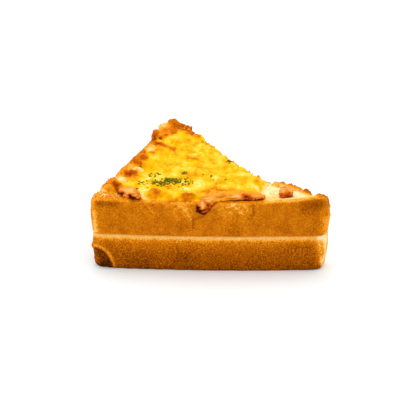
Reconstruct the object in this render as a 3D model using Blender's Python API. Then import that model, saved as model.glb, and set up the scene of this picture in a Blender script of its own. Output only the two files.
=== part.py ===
"""Half a ham and cheese toast: two thick slices of a square white loaf, cut corner to corner
and stacked, with melted cheese, ham and parsley baked on the upper one.

Metres, +Z up. The long crust side faces -Y. The plan is drawn with its zero just inside the
loaf's front left corner, A, and PLAN_CENTRE then puts the middle of the toast's box on the
origin, at its underside.
"""

import math
import random

import bmesh
import bpy
from mathutils import Matrix, Vector, noise

# Driving sizes of the loaf slice
FRONT = 0.1194  # front crust side, from corner A to where the crust turns in at the right
SIDE = 0.1270  # left crust side, from corner A to the back
CORNER_ANGLE = math.radians(72.4)  # between the two crust sides, squeezed under a right angle
NOSE_RIGHT = 0.0085  # crust that is left round the right tip
NOSE_BACK = 0.0100  # crust that is left round the back tip
LOWER_THICKNESS = 0.0191
UPPER_THICKNESS = 0.0194  # at the crust; the crumb sinks below it
GAP = 0.0003  # between neighbours that touch

# How far the sides bow outwards
FRONT_BOW = 0.0018
LEFT_BOW = -0.0006
CUT_BOW = -0.0078
CRUMB_ROUGHNESS = 0.0007  # of the cut side, which crumbles
CRUMB_GRAIN = 0.0045

# How the top of the upper slice sinks
RIM_WIDTH = 0.0095  # how fast the crust rim falls to the crumb
CRUMB_SINK = 0.0040
FRONT_SINK = 0.0008  # of the middle of the front rim
RIGHT_RISE = 0.0011  # the slice gets thicker towards its right end
CUT_SINK = 0.0036  # of the middle of the cut
CUT_SINK_REACH = 0.0200

PLAN_CENTRE = (0.05928, 0.05626)  # the middle of the toast's box, in the plan
HUB = (0.0480, 0.0400)  # every edge of the plan can be seen from here

SEAM = LOWER_THICKNESS + GAP
RIM_TOP = SEAM + UPPER_THICKNESS


def polar(origin, angle, distance):
    return (
        origin[0] + distance * math.cos(angle),
        origin[1] + distance * math.sin(angle),
    )


CORNER_A = (-0.0028, 0.0)
CORNER_B = (CORNER_A[0] + FRONT, -0.0030)
TIP_B = polar(CORNER_B, math.radians(63.4), NOSE_RIGHT)
CORNER_C = polar(CORNER_A, CORNER_ANGLE, SIDE)
TIP_C = polar(CORNER_C, math.radians(-27), NOSE_BACK)
TIPS = (CORNER_A, TIP_B, CORNER_C)

# Where the rim curls up: place, height, reach
CURLS = (
    ((0.0045, 0.0170), 0.0014, 0.0080),
    ((0.1130, -0.0030), 0.0022, 0.0120),
    (CORNER_C, 0.0005, 0.0180),
)

# corner, radius of its round, bow of the side that follows, where that bow is deepest (0.5 is
# the middle), whether that side is crust
PLAN = (
    (CORNER_A, 0.0055, FRONT_BOW, 0.50, True),
    (CORNER_B, 0.0062, 0.0, 0.50, True),
    (TIP_B, 0.0022, CUT_BOW, 0.40, False),
    (TIP_C, 0.0026, 0.0, 0.50, True),
    (CORNER_C, 0.0062, LEFT_BOW, 0.62, True),
)


def smooth(value):
    """0 below 0, 1 above 1 and an easy curve between."""
    value = min(1.0, max(0.0, value))
    return value * value * (3 - 2 * value)


def fillet(before, corner, after, radius, steps):
    """Points round a corner, from the side before it to the side after it."""
    corner = Vector(corner)
    into = (corner - Vector(before)).normalized()
    out = (Vector(after) - corner).normalized()
    turn = into.angle(out)
    reach = radius * math.tan(turn / 2)
    start = corner - into * reach
    inward = Vector((-into.y, into.x))
    centre = start + inward * radius
    return [
        centre + Matrix.Rotation(turn * step / steps, 2) @ (start - centre)
        for step in range(steps + 1)
    ]


def curve_through(a, b, c, d, steps):
    """Points from b up to c on the Catmull-Rom curve through all four."""
    points = []
    for step in range(steps):
        t = step / steps
        linear = (c - a) * t
        square = (2 * a - 5 * b + 4 * c - d) * t**2
        cube = (3 * b - 3 * c + d - a) * t**3
        points.append(0.5 * (2 * b + linear + square + cube))
    return points


def open_curve(rows, steps):
    """A smooth curve from the first row to the last."""
    rows = [Vector(row) for row in rows]
    rows = [2 * rows[0] - rows[1], *rows, 2 * rows[-1] - rows[-2]]
    points = []
    for index in range(1, len(rows) - 2):
        points += curve_through(*rows[index - 1 : index + 3], steps)
    return [*points, rows[-2]]


def closed_curve(rows, steps):
    """A smooth curve through all the rows, back to the first."""
    rows = [Vector(row) for row in rows]
    rows = [rows[-1], *rows, *rows[:2]]
    points = []
    for index in range(1, len(rows) - 2):
        points += curve_through(*rows[index - 1 : index + 3], steps)
    return points


def plan_outline(side_steps, corner_steps, grow=0.0):
    """The slice's outline, counterclockwise: [(point, outward normal, share of crust)]."""
    corners = [entry[0] for entry in PLAN]
    rounds = []
    for index, (corner, radius, _, _, _) in enumerate(PLAN):
        before = corners[index - 1]
        after = corners[(index + 1) % len(corners)]
        rounds.append(fillet(before, corner, after, radius, corner_steps))
    points, crust = [], []
    for index, (_, _, bow, deepest, is_crust) in enumerate(PLAN):
        points += rounds[index]
        previous_crust = PLAN[index - 1][4]
        for step in range(corner_steps + 1):
            share = smooth(step / corner_steps)
            crust.append(previous_crust * (1 - share) + is_crust * share)
        start = rounds[index][-1]
        end = rounds[(index + 1) % len(PLAN)][0]
        length = (end - start).length
        outward = Vector(((end - start).y, -(end - start).x)).normalized()
        steps = max(1, round(side_steps * length / FRONT))
        power = math.log(0.5) / math.log(deepest)
        for step in range(1, steps):
            share = step / steps
            bulge = bow * math.sin(math.pi * share**power)
            points.append(start.lerp(end, share) + outward * bulge)
            crust.append(float(is_crust))
    outline = []
    for index, point in enumerate(points):
        along = points[(index + 1) % len(points)] - points[index - 1]
        normal = Vector((along.y, -along.x)).normalized()
        outline.append((point + normal * grow, normal, crust[index]))
    return outline


def cut_distance(x, y):
    """(distance from the straight line of the cut, share of the way from the right tip)."""
    chord = Vector(TIP_C) - Vector(TIP_B)
    offset = Vector((x, y)) - Vector(TIP_B)
    along = chord.normalized()
    return abs(along.x * offset.y - along.y * offset.x), offset.dot(along) / chord.length


def crumb_top(x, y):
    """Height of the upper slice's top surface, in plan coordinates."""
    along_front = min(1.0, max(0.0, x / FRONT))
    from_front = y - CORNER_B[1] * along_front + FRONT_BOW * math.sin(math.pi * along_front)
    front_rim = math.exp(-max(0.0, from_front) / RIM_WIDTH)
    from_left = x * math.sin(CORNER_ANGLE) - y * math.cos(CORNER_ANGLE)
    left_rim = math.exp(-max(0.0, from_left) / RIM_WIDTH)
    rim = 1 - (1 - front_rim) * (1 - left_rim)
    from_cut, share = cut_distance(x, y)
    middle = math.sin(math.pi * min(1.0, max(0.0, share))) ** 0.7
    height = RIM_TOP + RIGHT_RISE * along_front - CRUMB_SINK * (1 - rim)
    height -= FRONT_SINK * front_rim * math.sin(math.pi * along_front)
    height -= CUT_SINK * middle * math.exp(-from_cut / CUT_SINK_REACH)
    for place, rise, reach in CURLS:
        height += rise * math.exp(-(Vector(place) - Vector((x, y))).length / reach)
    return height


# share of the slice's height, how far the crust is drawn in there, how much more at a corner
LOWER_PROFILE = (
    (0.00, 0.0002, 0.0030),
    (0.06, 0.0000, 0.0022),
    (0.18, 0.0000, 0.0013),
    (0.42, 0.0000, 0.0004),
    (0.78, 0.0001, 0.0000),
    (0.92, 0.0007, 0.0000),
    (1.00, 0.0020, 0.0004),
)
UPPER_PROFILE = (
    (0.00, 0.0007, 0.0006),
    (0.05, 0.0002, 0.0003),
    (0.28, 0.0000, 0.0002),
    (0.62, 0.0000, 0.0000),
    (0.85, 0.0003, 0.0004),
    (0.95, 0.0009, 0.0010),
    (1.00, 0.0021, 0.0014),
)
UNDERSIDE_RINGS = (0.5, 0.8)  # shares of the way from HUB to the outline
CORNER_REACH = 0.0055
LOWER_DRAWN_IN = 0.0002  # the lower slice is a touch smaller
CUT_ROUNDING = 0.25  # share of the profile that a cut side has


def ring_faces(first, second, count):
    """Quads that join two rings of count vertices."""
    return [
        (
            first + index,
            first + (index + 1) % count,
            second + (index + 1) % count,
            second + index,
        )
        for index in range(count)
    ]


def mesh_object(name, vertices, faces, material):
    mesh = bpy.data.meshes.new(name)
    mesh.from_pydata([tuple(vertex) for vertex in vertices], [], faces)
    mesh.update()
    if material:
        mesh.materials.append(material)
    obj = bpy.data.objects.new(name, mesh)
    bpy.context.scene.collection.objects.link(obj)
    return obj


def rings_to_object(name, rings, low_hub, high_hub, material):
    """A closed solid from rings that run up it, closed by a fan at each end."""
    count = len(rings[0])
    vertices = [vertex for ring in rings for vertex in ring]
    faces = []
    for level in range(len(rings) - 1):
        faces += ring_faces(level * count, (level + 1) * count, count)
    low, high = len(vertices), len(vertices) + 1
    vertices += [low_hub, high_hub]
    top = (len(rings) - 1) * count
    for index in range(count):
        following = (index + 1) % count
        faces.append((following, index, low))
        faces.append((top + index, top + following, high))
    return mesh_object(name, vertices, faces, material)


def placed(x, y, z):
    """A plan point in the toast's own frame."""
    return Vector((x - PLAN_CENTRE[0], y - PLAN_CENTRE[1], z))


def side_point(entry, level, inset, corner_inset, drawn_in, seed):
    """Where one outline point lies on the slice's side, at a share of its height."""
    point, normal, crust = entry
    nearest = min((Vector(tip) - point).length for tip in TIPS)
    inset += corner_inset * math.exp(-nearest / CORNER_REACH) + drawn_in
    inset *= crust + CUT_ROUNDING * (1 - crust)
    where = Vector((point.x / CRUMB_GRAIN, point.y / CRUMB_GRAIN, level * 4 + seed))
    crumble = CRUMB_ROUGHNESS * (1 - crust) * noise.noise(where)
    return point - normal * (inset + crumble)


def slice_object(name, low, top, profile, drawn_in, top_shares, steps, material, grow=0.0):
    """One half slice, from the height low up to the surface top(x, y)."""
    outline = plan_outline(*steps, grow=grow)
    hub = Vector(HUB)
    sides = [
        [side_point(entry, *level, drawn_in, low) for entry in outline]
        for level in profile
    ]
    rim = sides[-1]
    heights = [top(point.x, point.y) for point in rim]
    rings = []
    for share in UNDERSIDE_RINGS:
        rings.append([placed(*hub.lerp(point, share), low) for point in sides[0]])
    for side, (level, _, _) in zip(sides, profile):
        rings.append(
            [
                placed(*point, low + level * (height - low))
                for point, height in zip(side, heights)
            ]
        )
    for share in top_shares:
        inner = [hub.lerp(point, share) for point in rim]
        rings.append([placed(*point, top(point.x, point.y)) for point in inner])
    return rings_to_object(
        name, rings, placed(*hub, low), placed(*hub, top(hub.x, hub.y)), material
    )


def material(name, colour, roughness):
    made = bpy.data.materials.new(name)
    made.use_nodes = True
    shader = made.node_tree.nodes["Principled BSDF"]
    shader.inputs["Base Color"].default_value = (*colour, 1.0)
    shader.inputs["Roughness"].default_value = roughness
    made.diffuse_color = (*colour, 1.0)
    return made


def clear_scene():
    for obj in list(bpy.data.objects):
        bpy.data.objects.remove(obj)


def boolean(target, cutters, operation):
    """Joins the cutters to target, or cuts it by them, and removes them.

    The EXACT solver leaves open edges where nuggets graze each other, so it is MANIFOLD.
    """
    group = bpy.data.collections.new("cutters")
    bpy.context.scene.collection.children.link(group)
    for cutter in cutters:
        bpy.context.scene.collection.objects.unlink(cutter)
        group.objects.link(cutter)
    modifier = target.modifiers.new("boolean", "BOOLEAN")
    modifier.operation = operation
    modifier.solver = "MANIFOLD"
    modifier.operand_type = "COLLECTION"
    modifier.collection = group
    bpy.context.view_layer.update()
    graph = bpy.context.evaluated_depsgraph_get()
    result = bpy.data.meshes.new_from_object(target.evaluated_get(graph))
    target.modifiers.clear()
    target.data = result
    for cutter in list(group.objects):
        bpy.data.objects.remove(cutter)
    bpy.data.collections.remove(group)


def drop_scraps(obj):
    """Keeps only the largest of an object's separate bodies."""
    shape = bmesh.new()
    shape.from_mesh(obj.data)
    waiting = set(shape.verts)
    bodies = []
    while waiting:
        body = [waiting.pop()]
        for vertex in body:
            near = {edge.other_vert(vertex) for edge in vertex.link_edges} & waiting
            waiting -= near
            body.extend(near)
        bodies.append(body)
    bodies.sort(key=len)
    for body in bodies[:-1]:
        bmesh.ops.delete(shape, geom=body, context="VERTS")
    shape.to_mesh(obj.data)
    shape.free()


LUMP_ROUGHNESS = 0.5
LUMP_GRAIN = 1.6


def lump(name, centre, radii, seed):
    """An uneven nugget: an icosphere pushed in and out."""
    mesh = bpy.data.meshes.new(name)
    shape = bmesh.new()
    bmesh.ops.create_icosphere(shape, subdivisions=2, radius=1.0)
    for vertex in shape.verts:
        where = vertex.co * LUMP_GRAIN + Vector((seed, 0, 0))
        swell = 1 + LUMP_ROUGHNESS * noise.noise(where)
        vertex.co = Vector([c * r * swell for c, r in zip(vertex.co, radii)]) + centre
    shape.to_mesh(mesh)
    shape.free()
    obj = bpy.data.objects.new(name, mesh)
    bpy.context.scene.collection.objects.link(obj)
    return obj


# Toasted crumbs that stand up on the upper slice: x, y, radius along x, radius along y, height
CRUST_LUMPS = (
    (0.0388, 0.1126, 0.0036, 0.0046, 0.0034),
    (0.0361, 0.1010, 0.0034, 0.0036, 0.0024),
    (0.0450, 0.1070, 0.0030, 0.0034, 0.0036),
    (0.0480, 0.1066, 0.0030, 0.0036, 0.0046),
    (0.0330, 0.1066, 0.0034, 0.0070, 0.0005),
    (0.0592, 0.0895, 0.0030, 0.0042, 0.0018),
    (0.0960, 0.0260, 0.0050, 0.0034, 0.0038),
    (0.0999, 0.0224, 0.0038, 0.0032, 0.0034),
    (0.1033, 0.0188, 0.0044, 0.0032, 0.0035),
    (0.1083, 0.0126, 0.0038, 0.0032, 0.0022),
    (0.1152, 0.0054, 0.0034, 0.0032, 0.0008),
)
CRUMB_SEED = 3.5
CRUST_LUMP_SUNK = 0.0004  # of a crumb's middle below the bread's top


# The lip of a blister that burst in the lower slice's crust at corner A: how far along the
# outline from the middle of that corner, height
BLISTER_LIP = (
    (-0.0100, 0.0080),
    (-0.0060, 0.0108),
    (-0.0015, 0.0114),
    (0.0030, 0.0102),
    (0.0070, 0.0076),
    (0.0100, 0.0046),
    (0.0116, 0.0016),
)
LIP_RADIUS = 0.0011
LIP_END = 0.35  # share of the radius that the lip has at its ends
LIP_SIDES = 6
LIP_STEPS = 3
OUTLINE_STEPS = (60, 8)


def crust_place(along):
    """A point of the lower slice's crust, along metres from the middle of corner A."""
    outline = plan_outline(*OUTLINE_STEPS)
    index = OUTLINE_STEPS[1] // 2
    step = 1 if along > 0 else -1
    left = abs(along)
    following = index + step
    length = (outline[following][0] - outline[index][0]).length
    while left > length:
        left -= length
        index, following = following, following + step
        length = (outline[following][0] - outline[index][0]).length
    point = outline[index][0].lerp(outline[following][0], left / length)
    return point - outline[index][1] * LOWER_DRAWN_IN


def blister_lip():
    path = []
    for along, height in open_curve(BLISTER_LIP, LIP_STEPS):
        path.append(placed(*crust_place(along), height))
    rings = []
    for index, centre in enumerate(path):
        before = path[max(0, index - 1)]
        after = path[min(len(path) - 1, index + 1)]
        along = (after - before).normalized()
        side = Vector((0, 0, 1)).cross(along).normalized()
        up = along.cross(side)
        share = index / (len(path) - 1)
        middle = math.sin(math.pi * share)
        radius = LIP_RADIUS * (LIP_END + (1 - LIP_END) * middle)
        turns = [math.tau * corner / LIP_SIDES for corner in range(LIP_SIDES)]
        rings.append(
            [
                centre + side * radius * math.cos(turn) + up * radius * math.sin(turn)
                for turn in turns
            ]
        )
    return rings_to_object("lip", rings, path[0], path[-1], None)


SLICE_STEPS = (20, 4)  # points along the front side, and round each corner
LOWER_RINGS = (0.75, 0.4)  # of its top, as shares of the way from HUB to the rim


def lower_slice(crust):
    lower = slice_object(
        "bread_lower",
        0.0,
        lambda x, y: LOWER_THICKNESS,
        LOWER_PROFILE,
        LOWER_DRAWN_IN,
        LOWER_RINGS,
        SLICE_STEPS,
        crust,
    )
    boolean(lower, [blister_lip()], "UNION")


UPPER_RINGS = (0.96, 0.90, 0.81, 0.68, 0.50, 0.26)


def upper_body(name, crust, grow=0.0):
    """The upper slice without its crumbs, grown by grow on every side."""
    return slice_object(
        name,
        SEAM - grow,
        lambda x, y: crumb_top(x, y) + grow,
        UPPER_PROFILE,
        0.0,
        UPPER_RINGS,
        SLICE_STEPS,
        crust,
        grow,
    )


def crust_crumbs(grow=0.0):
    crumbs = []
    for index, (x, y, along_x, along_y, height) in enumerate(CRUST_LUMPS):
        centre = placed(x, y, crumb_top(x, y) - CRUST_LUMP_SUNK)
        radii = (along_x + grow, along_y + grow, height + CRUST_LUMP_SUNK + grow)
        crumbs.append(lump(f"crumb_{index}", centre, radii, CRUMB_SEED + index))
    return crumbs


def upper_slice(crust):
    upper = upper_body("bread_upper", crust)
    boolean(upper, crust_crumbs(), "UNION")
    drop_scraps(upper)


# The cheese
CHEESE_THICKNESS = 0.0022
CHEESE_EDGE = 0.0010
CHEESE_TAPER = 0.0060  # how far in from its edge the cheese reaches full thickness
CHEESE_RIPPLE = 0.0006
RIPPLE_GRAIN = (0.0180, 0.0110)  # along x, along y
CHEESE_ROUNDED = 0.0006  # how far its outermost edge droops
CHEESE_SUNK = 0.0016  # the raw layer dips this far into the bread before it is trimmed

# The edge of the cheese, from the front left, counterclockwise
CHEESE_EDGE_POINTS = (
    (0.0245, 0.0045),
    (0.0330, 0.0008),
    (0.0470, -0.0002),
    (0.0620, -0.0004),
    (0.0760, 0.0002),
    (0.0830, 0.0040),
    (0.0845, 0.0130),
    (0.0875, 0.0220),
    (0.0905, 0.0290),
    (0.0868, 0.0385),
    (0.0772, 0.0560),
    (0.0672, 0.0765),
    (0.0585, 0.0950),
    (0.0510, 0.1060),
    (0.0430, 0.1090),
    (0.0370, 0.1015),
    (0.0335, 0.0900),
    (0.0282, 0.0760),
    (0.0242, 0.0640),
    (0.0215, 0.0540),
    (0.0232, 0.0430),
    (0.0172, 0.0350),
    (0.0155, 0.0260),
    (0.0090, 0.0190),
    (0.0095, 0.0115),
    (0.0190, 0.0100),
)
CHEESE_HUB = (0.0500, 0.0400)
CHEESE_TOP_RINGS = (1.0, 0.98, 0.94, 0.87, 0.78, 0.66, 0.52, 0.36, 0.18)
CHEESE_LOW_RINGS = (0.6, 0.99)
CHEESE_STEPS = 3  # between two of the points above


def cheese_top(x, y, from_edge):
    """Height of the cheese's top, from_edge metres inside its edge."""
    fullness = smooth(from_edge / CHEESE_TAPER)
    thickness = CHEESE_EDGE + (CHEESE_THICKNESS - CHEESE_EDGE) * fullness
    where = Vector((x / RIPPLE_GRAIN[0], y / RIPPLE_GRAIN[1], 0.0))
    ripple = noise.fractal(where, 0.6, 2.0, 3)
    return crumb_top(x, y) + GAP + thickness + CHEESE_RIPPLE * ripple


# Browned nuggets of cheese: x, y, radius along x, radius along y, height over the bread
CHEESE_LUMPS = (
    (0.0319, 0.0080, 0.0039, 0.0042, 0.0044),
    (0.0484, 0.0026, 0.0035, 0.0028, 0.0036),
    (0.0419, 0.0006, 0.0032, 0.0020, 0.0018),
    (0.0113, 0.0155, 0.0027, 0.0032, 0.0040),
    (0.0146, 0.0347, 0.0024, 0.0034, 0.0022),
    (0.0190, 0.0353, 0.0034, 0.0042, 0.0026),
    (0.0198, 0.0488, 0.0027, 0.0042, 0.0024),
    (0.0242, 0.0495, 0.0034, 0.0044, 0.0024),
    (0.0222, 0.0569, 0.0034, 0.0050, 0.0026),
    (0.0232, 0.0664, 0.0022, 0.0034, 0.0018),
    (0.0268, 0.0640, 0.0040, 0.0050, 0.0024),
    (0.0296, 0.0835, 0.0034, 0.0036, 0.0022),
    (0.0340, 0.0795, 0.0036, 0.0032, 0.0024),
    (0.0382, 0.0750, 0.0034, 0.0026, 0.0024),
    (0.0290, 0.0908, 0.0031, 0.0042, 0.0038),
    (0.0338, 0.0912, 0.0040, 0.0038, 0.0028),
    (0.0100, 0.0120, 0.0036, 0.0030, 0.0016),
    (0.0148, 0.0082, 0.0036, 0.0028, 0.0018),
)
NUGGET_SEED = 20.0
NUGGET_MIDDLE = 0.25  # share of a nugget's height at which it is widest

# Parsley: x, y, spread along x, spread along y, count
PARSLEY_PATCHES = (
    (0.0390, 0.0258, 0.0030, 0.0026, 13),
    (0.0330, 0.0250, 0.0018, 0.0018, 6),
    (0.0455, 0.0248, 0.0018, 0.0022, 6),
    (0.0290, 0.0355, 0.0016, 0.0011, 5),
    (0.0461, 0.0381, 0.0006, 0.0010, 2),
    (0.0227, 0.0241, 0.0014, 0.0014, 3),
    (0.0277, 0.0194, 0.0008, 0.0007, 2),
    (0.0500, 0.0248, 0.0008, 0.0018, 2),
    (0.0224, 0.0160, 0.0004, 0.0005, 1),
    (0.0590, 0.0325, 0.0020, 0.0012, 3),
    (0.0702, 0.0551, 0.0008, 0.0004, 2),
    (0.0860, 0.0337, 0.0006, 0.0008, 2),
    (0.0472, 0.0167, 0.0010, 0.0013, 2),
    (0.0379, 0.0160, 0.0012, 0.0010, 1),
)
PARSLEY_SEED = 11
FLAKE_LENGTH = 0.0016
FLAKE_WIDTH = 0.0011
FLAKE_THICKNESS = 0.0007
FLAKE_BURIED = 0.75  # share of its thickness below its middle
FLAKE_SIDES = 5
FLAKE_SIZES = (0.75, 1.35)
FLAKE_TILT = 0.3


def flake(name, centre, length, width, turn, tilt):
    """A scrap of parsley leaf: a small plate with its middle lifted."""
    angles = [math.tau * index / FLAKE_SIDES for index in range(FLAKE_SIDES)]
    rim = [Vector((length * math.cos(a), width * math.sin(a), 0)) / 2 for a in angles]
    down = Vector((0, 0, FLAKE_THICKNESS * FLAKE_BURIED))
    up = Vector((0, 0, FLAKE_THICKNESS * (1 - FLAKE_BURIED)))
    turned = Matrix.Rotation(turn, 3, "Z") @ Matrix.Rotation(tilt, 3, "Y")
    rings = [
        [centre + turned @ (point + shift) for point in rim] for shift in (-down, up)
    ]
    return rings_to_object(
        name, rings, centre - turned @ down, centre + turned @ (up * 2), None
    )


def parsley_flakes():
    draw = random.Random(PARSLEY_SEED)
    flakes = []
    for x, y, spread_x, spread_y, count in PARSLEY_PATCHES:
        for _ in range(count):
            at = (x + draw.gauss(0, spread_x), y + draw.gauss(0, spread_y))
            size = draw.uniform(*FLAKE_SIZES)
            turn = draw.uniform(0, math.tau)
            tilt = draw.uniform(-FLAKE_TILT, FLAKE_TILT)
            top = cheese_top(*at, CHEESE_TAPER) + (1 - FLAKE_BURIED) * FLAKE_THICKNESS
            name = f"flake_{len(flakes)}"
            length, width = FLAKE_LENGTH * size, FLAKE_WIDTH * size
            flakes.append(flake(name, placed(*at, top), length, width, turn, tilt))
    return flakes


def cheese_layer(yellow):
    """The cheese before it is trimmed to the bread."""
    edge = closed_curve(CHEESE_EDGE_POINTS, CHEESE_STEPS)
    hub = Vector(CHEESE_HUB)
    rings = []
    for share in CHEESE_LOW_RINGS:
        inner = [hub.lerp(point, share) for point in edge]
        rings.append([placed(*point, crumb_top(*point) - CHEESE_SUNK) for point in inner])
    for share in CHEESE_TOP_RINGS:
        droop = CHEESE_ROUNDED if share == 1.0 else 0.0
        ring = []
        for point in edge:
            inner = hub.lerp(point, share)
            from_edge = (point - inner).length
            ring.append(placed(*inner, cheese_top(*inner, from_edge) - droop))
        rings.append(ring)
    low = placed(*hub, crumb_top(*hub) - CHEESE_SUNK)
    high = placed(*hub, cheese_top(*hub, CHEESE_TAPER))
    return rings_to_object("cheese", rings, low, high, yellow)


def cheese_with_bits(yellow):
    cheese = cheese_layer(yellow)
    bits = []
    for index, (x, y, along_x, along_y, height) in enumerate(CHEESE_LUMPS):
        centre = placed(x, y, crumb_top(x, y) + NUGGET_MIDDLE * height)
        radii = (along_x, along_y, (1 - NUGGET_MIDDLE) * height)
        bits.append(lump(f"nugget_{index}", centre, radii, NUGGET_SEED + index))
    boolean(cheese, bits, "UNION")
    boolean(cheese, parsley_flakes(), "UNION")
    return cheese


# The ham strips: x, y, height over RIM_TOP, width, thickness, how far the strip faces the front
# (0 lies flat, 1 hangs down the crust)
HAM_FRONT = (
    (0.0872, 0.0030, -0.0006, 0.0024, 0.0014, 0.1),
    (0.0838, 0.0026, 0.0000, 0.0052, 0.0028, 0.1),
    (0.0785, 0.0024, 0.0002, 0.0072, 0.0034, 0.2),
    (0.0720, 0.0026, 0.0004, 0.0066, 0.0030, 0.2),
    (0.0660, 0.0020, 0.0004, 0.0068, 0.0032, 0.3),
    (0.0612, -0.0006, 0.0004, 0.0070, 0.0032, 0.5),
    (0.0578, -0.0034, -0.0014, 0.0078, 0.0034, 0.8),
    (0.0564, -0.0042, -0.0043, 0.0076, 0.0034, 1.0),
    (0.0559, -0.0040, -0.0073, 0.0040, 0.0022, 1.0),
)
HAM_LEFT = (
    (0.0152, 0.0135, -0.0010, 0.0050, 0.0020, 0.0),
    (0.0166, 0.0092, 0.0006, 0.0072, 0.0030, 0.0),
    (0.0190, 0.0058, 0.0010, 0.0074, 0.0034, 0.2),
    (0.0218, 0.0024, 0.0012, 0.0056, 0.0030, 0.5),
    (0.0247, -0.0006, 0.0004, 0.0020, 0.0016, 0.9),
)
HAM_STEPS = 4
HAM_SIDES = 8
HAM_SQUARENESS = 0.75  # 1 is an oval section, less is squarer
HAM_CRINKLE = 0.16
HAM_GRAIN = 0.0024
HAM_END = 0.0003  # how far the rounded ends reach

# The square scrap
HAM_CUBE_SIZE = (0.0064, 0.0058, 0.0046)
HAM_CUBE_AT = (0.0982, 0.0082)
HAM_CUBE_MIDDLE = 0.38  # share of its height between the bread and its middle
HAM_CUBE_ROUND = 0.45
HAM_CUBE_UNEVEN = 0.22


def squared(value):
    return math.copysign(abs(value) ** HAM_SQUARENESS, value)


def ham_strip(name, stations, pink, grow=0.0):
    """A strip of ham along its stations, grown by grow on every side."""
    rows = open_curve(stations, HAM_STEPS)
    path = [placed(row[0], row[1], RIM_TOP + row[2]) for row in rows]
    rings = []
    for index, row in enumerate(rows):
        before = path[max(0, index - 1)]
        after = path[min(len(path) - 1, index + 1)]
        along = (after - before).normalized()
        facing = row[5] * math.pi / 2
        up = Vector((0, -math.sin(facing), math.cos(facing)))
        side = up.cross(along).normalized()
        up = along.cross(side)
        crinkle = 1 + HAM_CRINKLE * noise.noise(path[index] / HAM_GRAIN)
        half_width = row[3] / 2 * crinkle + grow
        half_thickness = row[4] / 2 / crinkle + grow
        ring = []
        for corner in range(HAM_SIDES):
            turn = math.tau * corner / HAM_SIDES
            across = squared(math.cos(turn)) * half_width
            lift = squared(math.sin(turn)) * half_thickness
            ring.append(path[index] + side * across + up * lift)
        rings.append(ring)
    first = path[0] - (path[1] - path[0]).normalized() * (HAM_END + grow)
    last = path[-1] + (path[-1] - path[-2]).normalized() * (HAM_END + grow)
    return rings_to_object(name, rings, first, last, pink)


def ham_cube(name, pink):
    """A square scrap of ham, its corners baked round."""
    x, y = HAM_CUBE_AT
    mesh = bpy.data.meshes.new(name)
    shape = bmesh.new()
    bmesh.ops.create_cube(shape, size=1.0)
    bmesh.ops.subdivide_edges(shape, edges=shape.edges, cuts=3, use_grid_fill=True)
    centre = placed(x, y, crumb_top(x, y) + HAM_CUBE_MIDDLE * HAM_CUBE_SIZE[2])
    for vertex in shape.verts:
        rounded = vertex.co.normalized() * 0.62
        corner = vertex.co.lerp(rounded, HAM_CUBE_ROUND)
        corner *= 1 + HAM_CUBE_UNEVEN * noise.noise(vertex.co * 3)
        vertex.co = centre + corner * Vector(HAM_CUBE_SIZE)
    shape.to_mesh(mesh)
    shape.free()
    mesh.materials.append(pink)
    obj = bpy.data.objects.new(name, mesh)
    bpy.context.scene.collection.objects.link(obj)
    return obj


def main():
    clear_scene()
    crust = material("crust", (0.58, 0.20, 0.02), 0.75)
    yellow = material("cheese", (0.95, 0.58, 0.06), 0.35)
    pink = material("ham", (0.62, 0.20, 0.09), 0.45)
    lower_slice(crust)
    upper_slice(crust)
    cheese = cheese_with_bits(yellow)
    hams = [
        ham_strip("ham_front", HAM_FRONT, pink),
        ham_strip("ham_left", HAM_LEFT, pink),
        ham_cube("ham_cube", pink),
    ]
    ham_room = [
        ham_strip("room_front", HAM_FRONT, None, GAP),
        ham_strip("room_left", HAM_LEFT, None, GAP),
    ]
    boolean(cheese, ham_room, "DIFFERENCE")
    for food in (cheese, *hams):
        boolean(food, [upper_body("bread_room", None, GAP), *crust_crumbs(GAP)], "DIFFERENCE")
        drop_scraps(food)


main()
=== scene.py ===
# Half a ham and cheese toast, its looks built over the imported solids.
# Metres, +Z up, the long crust side faces -Y. Places marked on the photo are in its pixels.

import math

import bmesh
import bpy
import numpy as np
from mathutils import Matrix, Vector, noise
from mathutils.bvhtree import BVHTree


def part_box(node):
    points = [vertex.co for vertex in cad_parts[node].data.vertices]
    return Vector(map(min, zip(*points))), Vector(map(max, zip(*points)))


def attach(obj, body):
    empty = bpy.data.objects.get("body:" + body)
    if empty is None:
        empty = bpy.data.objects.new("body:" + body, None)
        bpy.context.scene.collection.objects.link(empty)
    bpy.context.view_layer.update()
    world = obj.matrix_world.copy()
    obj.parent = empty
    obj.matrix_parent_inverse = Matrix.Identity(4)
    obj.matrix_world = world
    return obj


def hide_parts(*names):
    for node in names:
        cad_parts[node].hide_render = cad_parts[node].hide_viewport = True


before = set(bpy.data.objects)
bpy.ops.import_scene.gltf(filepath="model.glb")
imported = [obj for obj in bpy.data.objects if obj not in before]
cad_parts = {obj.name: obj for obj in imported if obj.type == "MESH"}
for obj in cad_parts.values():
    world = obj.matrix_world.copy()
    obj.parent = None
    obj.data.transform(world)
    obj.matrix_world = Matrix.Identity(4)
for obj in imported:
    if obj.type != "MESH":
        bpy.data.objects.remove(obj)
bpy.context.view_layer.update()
print("frame loaded:", ", ".join(sorted(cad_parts)))

photo = dict(
    pixels=400,  # along each side
    cameraAt=Vector((-0.00480, -0.51479, 0.23703)),
    lookDown=math.radians(23.454),
    lens=90.34,
    sensor=36.0,
)

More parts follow.
